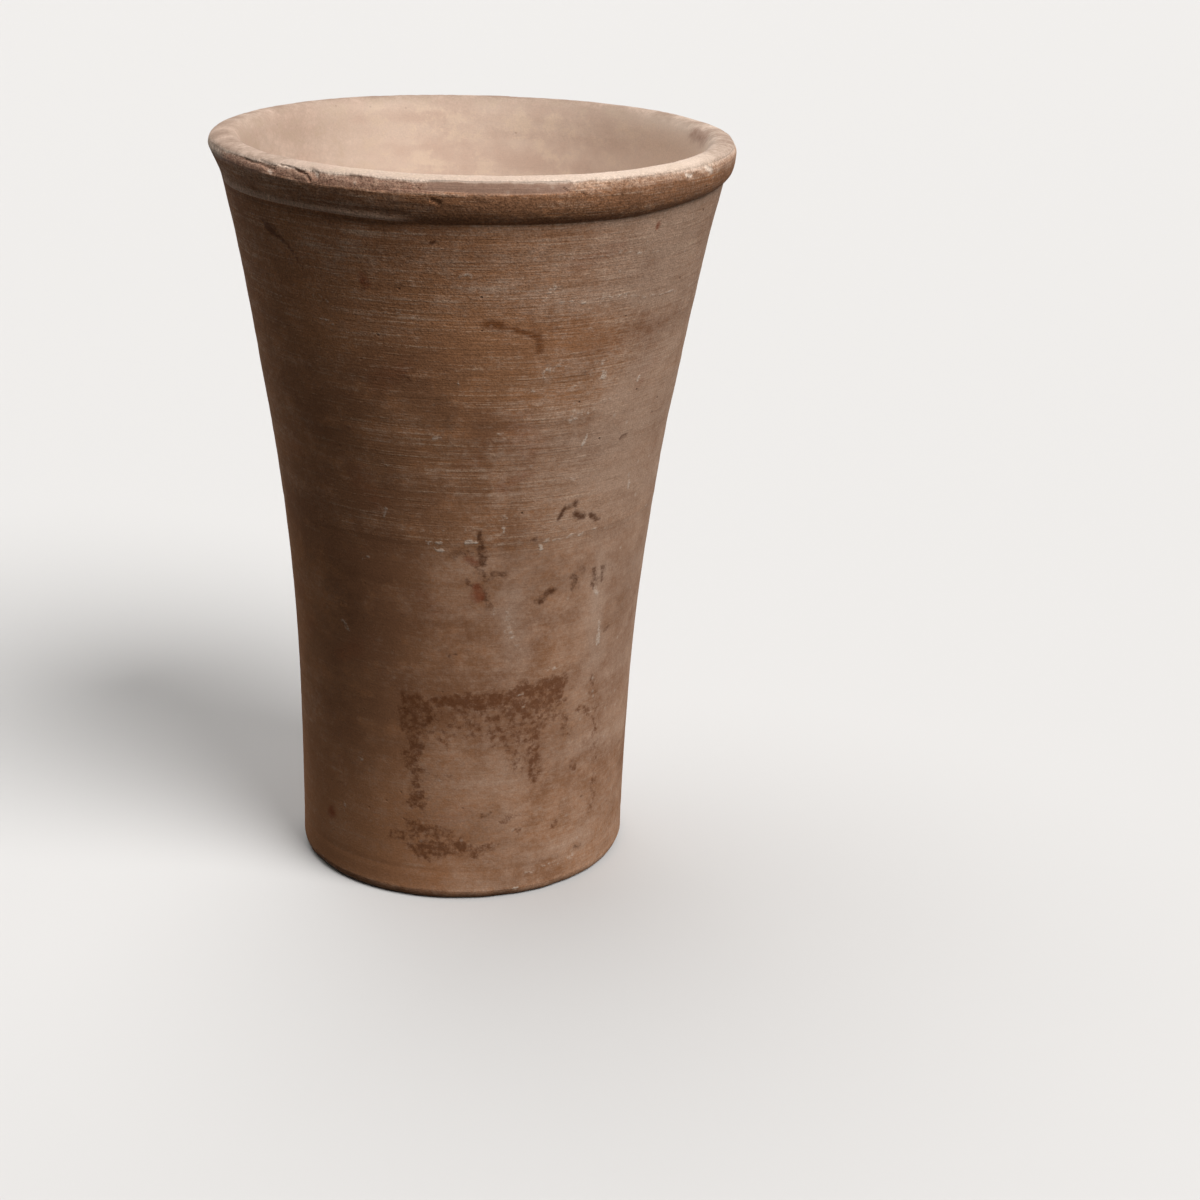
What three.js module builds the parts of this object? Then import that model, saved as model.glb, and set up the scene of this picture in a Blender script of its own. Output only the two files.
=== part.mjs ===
// A conical earthenware vase: a saucer-shaped base disc, two turned wall rings and a rolled rim band.
// Millimetres, +Z up. The origin is the centre of the flat standing face.
import * as THREE from "three";

// Overall size
const HEIGHT = 190; // standing face to the crest of the lip
const RIM_RADIUS = 65; // widest circle of the rolled rim
const FOOT_RADIUS = 43; // outside of the wall at the foot
const LEAN = 0.0165; // sideways drift of the hand-turned axis towards +X, per millimetre of height

// Wall
const GROOVE_HEIGHT = 178.9; // groove outside, where the wall meets the rim band
const GROOVE_RADIUS = 61.6;
const FLARE_POWER = 2.2; // how late the wall opens out on its way up
const WALL_AT_FOOT = 7.4;
const WALL_AT_GROOVE = 6.4;
const BELT_HEIGHT = 98; // seam between the two wall rings, outside

// Base disc
const FLOOR_HEIGHT = 8; // thickness of the floor
const FLOOR_RADIUS = 29; // flat part of the floor, inside the corner sweep
const FOOT_EDGE = 2.4; // rounding of the standing edge
const DISC_EDGE_HEIGHT = 8; // seam between the disc and the lower ring, outside

// Luted joints
const SCARF_RISE = 6; // how much higher a scarf joint is inside than outside
const TONGUE_SHOULDER = 1.2; // rise of the seat from the wall's faces to the tongue's root
const TONGUE_ROOT_WIDTH = 3.4;
const TONGUE_TIP_WIDTH = 1.8;
const TONGUE_HEIGHT = 4.6;

// Rolled rim
const RIM_WIDEST_DROP = 2.7; // widest circle, below the crest
const CREST_RADIUS = 60.4;
const MOUTH_RADIUS = 56.6; // where the crest's level top would meet the mouth
const MOUTH_EASE = 5.5; // height over which the mouth eases into the slope of the wall inside
const ROLL_UNDERCUT = 0.4; // rise of the roll's underside as it leaves the groove
const ROLL_LEDGE = 1.8; // how far the roll's underside runs out from the groove
const ROLL_FULLNESS = 4.4; // upright reach of the roll's outer curve below its widest circle

// Smoothness
const SEGMENTS = 64; // facets around
const WALL_STEPS = 7; // stretches along each face of a wall ring
const CURVE_STEPS = 6; // stretches along each curve of the disc and the rim

const point = (radius, height) => new THREE.Vector2(radius, height);

// The wall's outer face: nearly upright at the foot, opening like a trumpet towards the rim
function outerRadius(height) {
  const share = Math.max(height, 0) / GROOVE_HEIGHT;
  return FOOT_RADIUS + (GROOVE_RADIUS - FOOT_RADIUS) * share ** FLARE_POWER;
}

// The wall's inner face: the wall thins slightly on its way up
function innerRadius(height) {
  const thickness = THREE.MathUtils.lerp(WALL_AT_FOOT, WALL_AT_GROOVE, height / GROOVE_HEIGHT);
  return outerRadius(height) - thickness;
}

const outerPoint = (height) => point(outerRadius(height), height);
const innerPoint = (height) => point(innerRadius(height), height);

// Points along one face of the wall between two heights, both ends included
function facePoints(pointAt, from, to) {
  const points = [];
  for (let step = 0; step <= WALL_STEPS; step += 1) {
    points.push(pointAt(THREE.MathUtils.lerp(from, to, step / WALL_STEPS)));
  }
  return points;
}

// Turns an outline about the upright axis, then leans it as the whole vase leans
function turn(outline) {
  const geometry = new THREE.LatheGeometry(outline, SEGMENTS);
  geometry.rotateX(Math.PI / 2);
  geometry.applyMatrix4(new THREE.Matrix4().makeShear(0, 0, 0, 0, LEAN, 0));
  return geometry;
}

function clayPiece(name, outline, colour) {
  const material = new THREE.MeshStandardMaterial({ color: colour, roughness: 0.85, metalness: 0 });
  const mesh = new THREE.Mesh(turn(outline), material);
  mesh.name = name;
  return mesh;
}

// Outline of the base disc: flat underneath, rounded standing edge, sloped seat and a swept floor corner
function discOutline() {
  const seatInside = innerPoint(DISC_EDGE_HEIGHT + SCARF_RISE);
  const path = new THREE.Path();
  path.moveTo(0, 0);
  path.lineTo(FOOT_RADIUS - FOOT_EDGE, 0);
  path.quadraticCurveTo(FOOT_RADIUS, 0, FOOT_RADIUS, FOOT_EDGE);
  path.lineTo(outerRadius(DISC_EDGE_HEIGHT), DISC_EDGE_HEIGHT);
  path.lineTo(seatInside.x, seatInside.y);
  path.quadraticCurveTo(seatInside.x, FLOOR_HEIGHT, FLOOR_RADIUS, FLOOR_HEIGHT);
  path.lineTo(0, FLOOR_HEIGHT);
  return path.getPoints(CURVE_STEPS);
}

// Outline of the lower ring: up the outside, across the upper scarf, down the inside and the lower scarf
function lowerOutline() {
  const outside = facePoints(outerPoint, DISC_EDGE_HEIGHT, BELT_HEIGHT);
  const inside = facePoints(innerPoint, BELT_HEIGHT + SCARF_RISE, DISC_EDGE_HEIGHT + SCARF_RISE);
  return [...outside, ...inside, outside[0].clone()];
}

// The seat and tongue at the top of the upper ring, from outside to inside
function tonguePoints() {
  const seatHeight = GROOVE_HEIGHT + TONGUE_SHOULDER;
  const middle = (outerRadius(GROOVE_HEIGHT) + innerRadius(GROOVE_HEIGHT)) / 2;
  const tipHeight = seatHeight + TONGUE_HEIGHT;
  return [
    outerPoint(GROOVE_HEIGHT),
    point(middle + TONGUE_ROOT_WIDTH / 2, seatHeight),
    point(middle + TONGUE_TIP_WIDTH / 2, tipHeight),
    point(middle - TONGUE_TIP_WIDTH / 2, tipHeight),
    point(middle - TONGUE_ROOT_WIDTH / 2, seatHeight),
    innerPoint(GROOVE_HEIGHT),
  ];
}

// Outline of the upper ring: up the outside, over the tongue, down the inside, across the scarf
function upperOutline() {
  const outside = facePoints(outerPoint, BELT_HEIGHT, GROOVE_HEIGHT);
  const inside = facePoints(innerPoint, GROOVE_HEIGHT, BELT_HEIGHT + SCARF_RISE);
  const tongueOnly = tonguePoints().slice(1, -1);
  return [...outside, ...tongueOnly, ...inside, outside[0].clone()];
}

// Outline of the rim band: out of the groove, round the roll, over the crest, and back round its socket
function rimOutline() {
  const widest = HEIGHT - RIM_WIDEST_DROP;
  const [groove, ...socket] = tonguePoints();
  const seamInside = socket[socket.length - 1];
  const eased = innerPoint(GROOVE_HEIGHT + MOUTH_EASE);
  const path = new THREE.Path();
  path.moveTo(groove.x, groove.y);
  path.bezierCurveTo(
    groove.x + ROLL_LEDGE, groove.y + ROLL_UNDERCUT,
    RIM_RADIUS, widest - ROLL_FULLNESS,
    RIM_RADIUS, widest,
  );
  path.quadraticCurveTo(RIM_RADIUS, HEIGHT, CREST_RADIUS, HEIGHT);
  path.bezierCurveTo(MOUTH_RADIUS, HEIGHT, eased.x, eased.y, seamInside.x, seamInside.y);
  for (const corner of socket.slice(0, -1).reverse()) {
    path.lineTo(corner.x, corner.y);
  }
  path.lineTo(groove.x, groove.y);
  return path.getPoints(CURVE_STEPS);
}

const vase = new THREE.Group();
vase.add(clayPiece("base_disc", discOutline(), 0x8a6650));
vase.add(clayPiece("lower_wall", lowerOutline(), 0x8f6b55));
vase.add(clayPiece("upper_wall", upperOutline(), 0x8c6852));
vase.add(clayPiece("rim_band", rimOutline(), 0xa58670));

export default vase;
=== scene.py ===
# The looks of a conical earthenware vase: its four clay elements, their worn surface and a plain studio.
import itertools
import math
from types import SimpleNamespace

import bpy
import numpy as np
from mathutils import Matrix, Vector


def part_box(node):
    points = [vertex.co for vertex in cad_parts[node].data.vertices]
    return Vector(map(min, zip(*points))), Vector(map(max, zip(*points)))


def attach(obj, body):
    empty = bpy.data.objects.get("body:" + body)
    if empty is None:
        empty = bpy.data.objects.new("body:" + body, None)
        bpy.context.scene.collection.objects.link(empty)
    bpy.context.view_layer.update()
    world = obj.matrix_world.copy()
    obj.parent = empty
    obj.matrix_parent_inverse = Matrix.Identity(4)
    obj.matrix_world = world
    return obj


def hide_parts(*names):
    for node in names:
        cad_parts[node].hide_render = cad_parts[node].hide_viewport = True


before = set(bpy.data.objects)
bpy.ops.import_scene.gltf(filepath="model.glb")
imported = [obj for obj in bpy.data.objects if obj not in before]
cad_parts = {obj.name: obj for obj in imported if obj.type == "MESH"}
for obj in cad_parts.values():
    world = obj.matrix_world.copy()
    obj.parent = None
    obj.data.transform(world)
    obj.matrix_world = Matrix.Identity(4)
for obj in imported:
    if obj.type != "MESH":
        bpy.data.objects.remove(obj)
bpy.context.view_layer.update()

MM = 0.001  # lengths below are in millimetres, and the meshes are scaled to metres as they are made


def half_depth(node):
    """Half a node's width along Y, the way that the vase doesn't lean."""
    low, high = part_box(node)
    return (high.y - low.y) / 2 / MM


def bottom(node):
    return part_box(node)[0].z / MM


def top(node):
    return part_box(node)[1].z / MM


# Sizes that the frame gives
HEIGHT = top("rim_band")
GROOVE_Z = bottom("rim_band")
BELT_Z = bottom("upper_wall")
DISC_SEAM_Z = bottom("lower_wall")
SCARF_RISE = top("base_disc") - DISC_SEAM_Z
RIM_RADIUS = half_depth("rim_band")
GROOVE_RADIUS = half_depth("upper_wall")
FOOT_RADIUS = half_depth("base_disc")

# Sizes of the profile
LEAN = 0.0165  # drift of the axis towards +X, per unit of height
FLARE_POWER = 2.2  # how late the wall opens out on its way up
WAIST_DEPTH, WAIST_Z, WAIST_SPREAD = 0.3, 68, 30
BELLY_DEPTH, BELLY_Z, BELLY_SPREAD = 0.4, 138, 20
WALL_AT_FOOT = 7.4
WALL_AT_GROOVE = 6.4
FLOOR_Z = 8
FLOOR_RADIUS = 29
FLOOR_SWEEP = 12  # length of the curve from the wall to the floor
BOSS_HEIGHT, BOSS_RADIUS = 0.9, 9  # low swelling in the middle of the floor
FOOT_EDGE = 2.4  # size of the round edge at the foot
FOOT_WEAR = 0.25
STANDING_RADIUS = FOOT_RADIUS - FOOT_EDGE
SCUFF_WIDTH = 9  # of the scuffed ring on the standing face
CREST_RADIUS = 60.4
MOUTH_RADIUS = 56.6  # pull of the curve from the crest to the seam inside
ROLL_LENGTH, BEVEL_LENGTH, CREST_LENGTH, MOUTH_LENGTH = 9, 3, 6, 13  # of the rim's curves
TONGUE_SHOULDER = 1.2
TONGUE_ROOT_WIDTH = 3.4
TONGUE_TIP_WIDTH = 1.8
TONGUE_HEIGHT = 4.6

# Unevenness of the turned faces
SLOW_WOBBLE = 0.2
QUICK_WOBBLE = 0.1
BROAD_RIDGE = 0.08
FINE_RIDGE = 0.04
BELT_STEP = 0.1
SEAM_DEPTH = 0.09
SPIRAL_PITCH = 8.5
SPIRAL_LOW, SPIRAL_HIGH = 0.15, 0.04  # depth of the spiral inside, low down and near the rim
SWIRL_PITCH, SWIRL_DEPTH = 5, 0.25  # the spiral on the floor
GROOVE_CLIMB = 1.6  # at the right
GROOVE_DIP = 0.8  # at the front
CREST_MARGIN = 0.2  # of the crest below the frame's highest point
CREST_DROP_FRONT = 1.0
CREST_DROP_RIGHT = 0.35
CREST_WAVER = 0.12

# Fineness of the meshes
WALL_COLUMNS = 600
RIM_COLUMNS = 960
OUTSIDE_STEP = 0.75
INSIDE_STEP = 1.7
RIM_STEP = 0.33
UNDERSIDE_ROWS = 42
FLOOR_ROWS = 34
EDGE_ROWS = 8
AXIS_GAP = 1.5  # radius of the rings next to the axis

# Finish of the inner face, the lip and the foot, from 0 to 1: the first two paint shade at the left of the
# inner face and of the lip, and the third paints light at the right of the inner face
INSIDE_PAINTED_SHADE = 0.55  # at the left of the inner face
LIP_PAINTED_SHADE_SHARE = 0.9  # at the left of the lip
INSIDE_PAINTED_LIGHT = 1.0  # at the right of the inner face
INSIDE_GRIT = 0.08
FLOOR_GRIT = 0.15
FOOT_GRIT = 0.5

GIRTH_RADIUS = 50  # radius at which the patterns' sizes along the girth are true
CELL_PRIMES = (374761393, 668265263, 974634777)
SEED_PRIME = 1274126177
SCRAMBLE = 1103515245


# Shares and curves


def smooth(low, high, value):
    """0 at low, 1 at high, and a smooth change between them."""
    share = np.clip((value - low) / (high - low), 0, 1)
    return share * share * (3 - 2 * share)


def window(start, end, soft, value):
    """1 between start and end, fading to 0 within soft outside them."""
    return smooth(start - soft, start, value) * (1 - smooth(end, end + soft, value))


def mix(start, end, share):
    return start + (end - start) * share


def bell(value, middle, spread):
    return np.exp(-(((value - middle) / spread) ** 2))


def bezier(share, *corners):
    """A curve of two, three or four control values, at these shares of its length."""
    values = list(corners)
    while len(values) > 1:
        values = [mix(a, b, share) for a, b in zip(values, values[1:])]
    return values[0]


def column(values):
    return np.asarray(values, float)[:, None]


def shares(length, step):
    """Evenly spread shares from 0 to 1 along a length, about a step apart."""
    return column(np.linspace(0, 1, max(2, round(length / step) + 1)))


def lattice(cells, seed):
    """A repeatable number from -1 to 1 for each whole-number cell."""
    mixed = seed * SEED_PRIME
    for axis, prime in enumerate(CELL_PRIMES):
        mixed = mixed + cells[..., axis] * prime
    mixed = (mixed ^ (mixed >> 13)) * SCRAMBLE
    mixed ^= mixed >> 16
    return (mixed & 0xFFFF) / 0x7FFF - 1


def value_noise(points, seed):
    """Smooth noise from -1 to 1, in cells of side 1."""
    cells = np.floor(points).astype(np.int64)
    part = points - cells
    ease = part * part * (3 - 2 * part)
    total = np.zeros(points.shape[:-1])
    for corner in itertools.product((0, 1), repeat=3):
        weight = np.prod(np.where(corner, ease, 1 - ease), axis=-1)
        total += weight * lattice(cells + np.array(corner), seed)
    return total


# The turned surface


def plain_outside(height):
    """The wall's outer radius before wear: a late flare, a slight waist below and a slight belly above."""
    flare = (GROOVE_RADIUS - FOOT_RADIUS) * (np.clip(height, 0, None) / GROOVE_Z) ** FLARE_POWER
    waist = WAIST_DEPTH * bell(height, WAIST_Z, WAIST_SPREAD)
    belly = BELLY_DEPTH * bell(height, BELLY_Z, BELLY_SPREAD)
    return FOOT_RADIUS + flare - waist + belly


def plain_inside(height):
    return plain_outside(height) - mix(WALL_AT_FOOT, WALL_AT_GROOVE, height / GROOVE_Z)


class Girth:
    """Columns round the vase. Angle 0 is the front, which faces -Y, and positive angles go towards +X."""

    def __init__(self, columns):
        self.columns = columns
        self.angles = np.linspace(-math.pi, math.pi, columns, endpoint=False)[None, :]
        self.degrees = np.degrees(self.angles)
        self.front = (1 + np.cos(self.angles)) / 2  # 1 at the front and 0 at the back
        self.rightward = np.sin(self.angles)
        self.left_share = window(-125, -60, 45, self.degrees)  # where painted shade darkens the lip and the inside
        self.right_share = window(40, 110, 40, self.degrees)  # where painted light brightens the inside and the lip

    def noise(self, height, along, upright, seed):
        """Noise at these heights, in cells of these sizes along the girth and upright."""
        angle, height = np.broadcast_arrays(self.angles, height)
        turn = GIRTH_RADIUS / along
        points = np.stack([np.sin(angle) * turn, np.cos(angle) * turn, height / upright], -1)
        return value_noise(points, seed)

    def wobble(self, height):
        """The slow unevenness of a hand-turned wall."""
        slow = self.noise(height, along=70, upright=80, seed=3)
        quick = self.noise(height, along=25, upright=30, seed=4)
        return SLOW_WOBBLE * slow + QUICK_WOBBLE * quick

    def outside(self, height):
        """The outer face: wipe ridges, a low step at the belt seam and a faint line at the disc's seam."""
        above_belt = smooth(BELT_Z - 3, BELT_Z + 3, height)
        ridges = BROAD_RIDGE * self.noise(height, along=140, upright=6, seed=5)
        ridges += FINE_RIDGE * self.noise(height, along=60, upright=2.1, seed=6)
        step = BELT_STEP * smooth(BELT_Z - 0.8, BELT_Z + 0.8, height)
        seam_share = 0.5 + 0.5 * self.noise(height, along=40, upright=200, seed=7)
        seam = SEAM_DEPTH * seam_share * bell(height, DISC_SEAM_Z, 0.9)
        return plain_outside(height) + self.wobble(height) + mix(0.5, 1.0, above_belt) * ridges + step - seam

    def inside(self, height):
        """The inner face, with the rising spiral that turning leaves."""
        spiral = np.sin(2 * math.pi * height / SPIRAL_PITCH - self.angles)
        fade = 0.6 + 0.4 * self.noise(height, along=60, upright=40, seed=8)
        depth = mix(SPIRAL_LOW, SPIRAL_HIGH, smooth(GROOVE_Z - 30, GROOVE_Z - 8, height))
        return plain_inside(height) + 0.8 * self.wobble(height) + depth * fade * spiral

    def groove(self):
        """Height of the groove under the rim: it dips at the front and climbs at the right."""
        climb = smooth(34, 92, self.degrees) * (1 - smooth(130, 175, self.degrees))
        dip = smooth(-45, -8, self.degrees) * (1 - smooth(30, 56, self.degrees))
        return GROOVE_Z + GROOVE_CLIMB * climb - GROOVE_DIP * dip

    def crest(self):
        """Height of the lip's crest, which is lowest at the front and to the right."""
        waver = CREST_WAVER * self.noise(HEIGHT, along=22, upright=1000, seed=12)
        drop = CREST_DROP_FRONT * self.front ** 1.5 + CREST_DROP_RIGHT * self.rightward
        return HEIGHT - CREST_MARGIN - drop + waver


WALL = Girth(WALL_COLUMNS)
RIM = Girth(RIM_COLUMNS)


# Marks on the surface


# Each is a stroke from one place to another: (angle, level, angle, level, half width, strength). Angles are
# in degrees. A level is a height on the wall, and a depth below the lip's edge on the rim.
STAINS = [
    # A knock with its crack at the left, and pits
    (-55.5, 174.2, -53, 172.6, 0.9, 0.8), (-53, 172.6, -51.6, 172, 1.8, 1.0),
    (-51, 171.6, -47.5, 169.6, 0.9, 0.85), (-47.4, 169.4, -44.2, 166.2, 0.8, 0.8),
    (-44.2, 166, -43, 163.6, 0.8, 0.7), (-24.3, 174, -24.2, 172, 0.6, 0.55),
    (-9.5, 173.7, -9.4, 173.4, 0.9, 1.0), (-26, 164.4, -25.6, 161.5, 1.1, 0.5),
    (-17, 140.5, -15.5, 139.5, 0.9, 0.6),
    # Flecks about the belt
    (26.5, 103.4, 28, 106, 1.2, 0.9), (28, 106.2, 31.5, 106.7, 1.1, 0.85),
    (32, 104, 35.5, 103.2, 1.6, 0.85), (37.5, 103.4, 40, 101.4, 1.5, 0.8), (3, 100.6, 3.8, 97.6, 1.3, 0.8),
    (3.6, 97.4, 3.4, 93.4, 1.8, 0.8), (-3.5, 95.6, 2, 94.6, 3.2, 0.4), (2.4, 92, 5.6, 88.4, 1.9, 0.6),
    (7, 90.8, 11.5, 90.2, 1.4, 0.65), (4.6, 85, 6.4, 81.6, 1.5, 0.6), (21.5, 81.8, 26, 83.6, 1.4, 0.75),
    (33.6, 86.6, 34.4, 83.6, 1.5, 0.55), (36, 88.5, 37, 88, 1.2, 0.4), (41.5, 87.2, 42.6, 83.2, 1.7, 0.7),
    (45.6, 87.6, 45.8, 84.6, 1.4, 0.5), (-0.5, 88, 3, 86.5, 1.9, 0.5),
    # Flecks at the back and the left
    (150, 112, 153, 108, 1.4, 0.75), (155, 107, 158, 106, 1.2, 0.65), (-168, 84, -164, 80, 1.8, 0.65),
    (-120, 128, -117, 125, 1.3, 0.75), (-116, 124, -113, 124.5, 1.1, 0.65), (-100, 62, -96, 58, 2.0, 0.55),
    (118, 44, 124, 42, 2.2, 0.55), (-172, 30, -160, 27, 2.4, 0.55), (-156, 26, -150, 29, 2.0, 0.5),
]
RUNS = [
    (3, 154.4, 6.5, 153.8, 1.5, 0.75), (6, 154, 10, 152.6, 0.8, 0.65), (10, 152.6, 15.8, 151, 0.7, 0.85),
    (15.6, 151.4, 16.2, 147.4, 1.1, 0.65), (12.8, 156.6, 14.5, 152.5, 1.5, 0.35),
    (18, 156, 19, 153, 1.6, 0.3), (-96, 150, -94, 128, 3, 0.4), (-92, 127, -90.5, 104, 2, 0.3),
    (128, 166, 126, 146, 3, 0.4), (141, 60, 152, 56, 3.5, 0.45), (-140, 40, -128, 43, 4, 0.4),
]
SMUDGES = [
    (-44, 84, -42, 76, 8.0, 0.5), (-9, 133, -7, 128, 5, 0.3), (-30, 122, -25, 116, 7, 0.25),
    (18, 96, 22, 88, 8, 0.22), (-14, 22, 6, 18, 7, 0.28), (-46, 60, -40, 40, 9, 0.3),
    (34, 50, 37, 43, 6, 0.3), (170, 170, 172, 140, 7, 0.45), (-110, 80, -104, 60, 8, 0.4),
    (120, 130, 126, 112, 7, 0.35),
]
HAZE = [
    (11, 84, 15, 68, 3.5, 0.6), (43, 92, 46, 84, 3, 0.6), (44, 80, 47, 62, 3.5, 0.7),
    (-30, 70, -22, 62, 6, 0.4), (22, 9, 48, 12, 3, 0.6), (18, 143, 30, 146, 4, 0.4),
    (38, 134, 50, 138, 4, 0.5), (-160, 130, -120, 126, 6, 0.5), (100, 88, 128, 92, 5, 0.5),
    (-90, 40, -62, 46, 6, 0.5), (172, 70, 176, 40, 4, 0.5), (150, 150, 176, 153, 5, 0.4),
]
LABEL_GHOST = [
    # Left band, top band and its thick right end
    (-18.8, 55.8, -13.6, 55.6, 2.6, 0.72), (-18.2, 52.4, -13.8, 51.8, 3.8, 0.7),
    (-17.6, 48.6, -14.2, 46.8, 3.4, 0.68), (-17, 45.2, -16, 41.2, 2.8, 0.7),
    (-17.2, 41, -16.6, 27, 2.5, 0.7), (-19.8, 40.6, -18.6, 37.6, 2.0, 0.55), (-10, 51, 2, 47.5, 3.6, 0.34),
    (0, 48, 10, 45, 3.4, 0.36), (-9, 46.5, -6, 44, 2.4, 0.34), (-10.6, 55.6, 4, 55.6, 2.1, 0.85),
    (3, 55.8, 18, 56.6, 2.7, 0.9), (16, 57, 32.4, 57.6, 2.8, 0.95), (14, 54, 32, 54.6, 2.9, 0.8),
    (20, 51.4, 28, 51.4, 2.6, 0.6), (-4, 53, 8, 53, 1.8, 0.45),
    # Drips inside it
    (2, 51.5, 9, 51, 2.0, 0.5), (9, 50.6, 12, 46, 1.9, 0.55), (15, 48.5, 25, 47.4, 2.3, 0.55),
    (18.6, 46, 20.6, 40, 2.0, 0.5), (23.4, 48, 23.8, 33.4, 1.9, 0.65), (14, 43, 17, 42, 1.8, 0.4),
    (15.4, 49.5, 17, 36.5, 2.8, 0.42), (-14, 44.8, -5, 46.8, 1.2, 0.32), (-11, 35, -3, 34, 3.2, 0.22),
    (28, 51.5, 34, 47.5, 2.4, 0.42), (33, 49, 37, 44, 2.6, 0.3), (-18.4, 29, -19, 20.5, 1.9, 0.3),
    # Lower edge
    (-25, 17.2, -17, 17.2, 1.5, 0.55), (-17, 20, -5, 18.4, 2.4, 0.6), (-17, 14.2, -2, 14.6, 2.9, 0.8),
    (3.4, 14.4, 9.5, 15.4, 2.3, 0.68), (-10, 17.2, 0, 16.4, 1.9, 0.5),
    # Broken right edge and dots
    (40, 49.4, 48, 46.5, 1.7, 0.5), (46, 56.5, 48.5, 50, 1.6, 0.36), (48.6, 48, 51, 33, 1.9, 0.36),
    (51, 31, 49.5, 18, 1.6, 0.36), (39.2, 33.9, 40, 33.4, 1.3, 0.65), (31.8, 18.3, 32.8, 18.4, 1.3, 0.65),
    (17.8, 19, 18.8, 19.2, 1.3, 0.6), (14, 22.6, 20, 23.4, 1.4, 0.5),
]
RUST = [
    (2, 87, 3.2, 84.6, 2.0, 0.8), (-0.5, 94.6, 1.8, 93.6, 1.8, 0.6), (-52.8, 17.4, -52, 17.2, 2.4, 0.8),
    (43.7, 175, 44, 174.2, 0.8, 0.9), (-26, 164, -25, 162.4, 1.6, 0.6), (-13, 84, -9, 80, 4, 0.25),
    (-33, 113, -27, 108, 6, 0.3), (12, 128, 17, 122, 6, 0.3), (22, 146, 50, 149, 6, 0.18),
    (22, 168, 34, 171, 4, 0.3),
]
CHALK = [
    (34.8, 138.4, 35.2, 139.8, 1.1, 0.75), (47.6, 136, 48, 137, 1.0, 0.7),
    (31.2, 122.8, 31.7, 124.6, 0.9, 0.8), (33.4, 143, 34.4, 142.4, 0.9, 0.65),
    (28, 140.6, 30.4, 140, 0.8, 0.5), (17, 141.4, 17.4, 141, 0.8, 0.65),
    (-3.6, 140.4, -3.4, 139.6, 0.8, 0.65), (13.4, 137.4, 15.6, 137.6, 0.7, 0.7),
    (26, 129.4, 33, 131, 0.9, 0.6), (-9.9, 125.9, -8.3, 125.7, 0.7, 0.75),
    (-10.2, 96.7, -8.4, 96.6, 1.0, 0.9), (-1.4, 98.8, 2.3, 99, 0.8, 0.95),
    (-12.4, 98.2, -7.5, 98.7, 0.6, 0.65), (9.9, 102.4, 10.2, 100.8, 0.7, 0.8),
    (46.6, 72, 47.6, 66, 1.1, 0.7), (43.4, 82, 45, 79.4, 1.0, 0.7), (44, 78, 48, 75, 0.8, 0.5),
    (21, 97.8, 44, 98.5, 0.55, 0.65), (20.5, 97, 21.5, 96, 0.8, 0.75), (24, 100, 34, 100.4, 0.5, 0.45),
    (12, 80, 15.5, 70, 1.4, 0.5), (8, 81, 12, 74, 1.6, 0.42), (18, 142.4, 23, 143.2, 0.8, 0.6),
    (52, 111, 52.6, 107.6, 0.9, 0.65), (-43, 73, -41, 71, 0.9, 0.55), (17, 2.6, 18.8, 2.4, 0.8, 0.85),
    (22, 6.4, 42, 7.6, 1.0, 0.5), (-20, 101.4, 8, 102.4, 0.6, 0.4), (-26, 94.2, -14, 95, 0.6, 0.4),
    (24, 138, 33, 139.6, 0.7, 0.45), (-40, 158.4, -36, 157.4, 0.8, 0.6), (-39, 152.6, -22, 148.6, 0.5, 0.6),
    (-26, 157.2, -14, 155.4, 0.4, 0.5), (16, 112, 30, 114, 0.8, 0.4), (28, 131, 40, 133.5, 0.8, 0.45),
    (6, 127, 22, 128, 0.6, 0.4), (20, 159.3, 36, 158.8, 0.6, 0.6), (36, 158.8, 59, 156.6, 0.6, 0.6),
    (30.5, 158.2, 31, 157.2, 0.8, 0.6), (29, 155.9, 30, 155.6, 0.7, 0.55),
    (27.5, 152.3, 29.6, 151.6, 0.7, 0.5), (18, 170, 47, 168.5, 0.65, 0.6), (160, 140, 176, 142, 0.7, 0.65),
    (-150, 96, -138, 97, 0.7, 0.65), (-104, 110, -90, 112, 0.6, 0.6), (104, 120, 116, 122, 0.8, 0.6),
    (130, 76, 132, 66, 1.0, 0.6), (-130, 30, -128, 22, 1.0, 0.55),
]
RIM_CRACKS = [
    (-44, -0.8, -40, -0.3, 0.35, 0.6), (-40, -0.3, -36.6, 0.7, 0.4, 0.9),
    (-36.6, 0.7, -35.2, 2.2, 0.4, 0.8), (-56, 0.2, -50, 0.6, 0.35, 0.5), (-50, 0.6, -45, 0.5, 0.3, 0.5),
    (17.8, 1.1, 18.6, 2.0, 0.4, 0.6), (-8.6, 3.6, -7.4, 4.4, 0.6, 0.8), (21.5, 2.4, 22, 3.0, 0.5, 0.6),
    (38, 1.0, 38.5, 1.5, 0.5, 0.6),
]
LIP_CHIPS = [
    (-35.8, -0.2, -34.4, 0.5, 1.3, 0.9), (-50, 0.0, -46, 0.5, 1.0, 0.5), (-27, -0.2, -24, 0.3, 1.0, 0.5),
    (50, 1.4, 53, 1.9, 1.3, 0.45), (57, 1.0, 59, 2.0, 1.3, 0.5), (128, 0.2, 131, 0.6, 1.6, 0.7),
    (-118, 0.1, -115, 0.5, 1.5, 0.6), (170, 0.0, 173, 0.4, 1.4, 0.6),
]
PALE_CHIPS = [
    (49, 0.8, 51, 1.4, 1.0, 0.9), (57.5, 0.6, 59, 1.6, 1.2, 0.9), (-35, -0.1, -34, 0.5, 0.8, 0.8),
    (-47, 1.0, -46, 1.4, 0.6, 0.7),
]


SCATTER_LEVELS = (4, 174)  # lowest and highest
SCATTER_SWAY = 0.12  # of the strokes' directions, in radians


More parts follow.
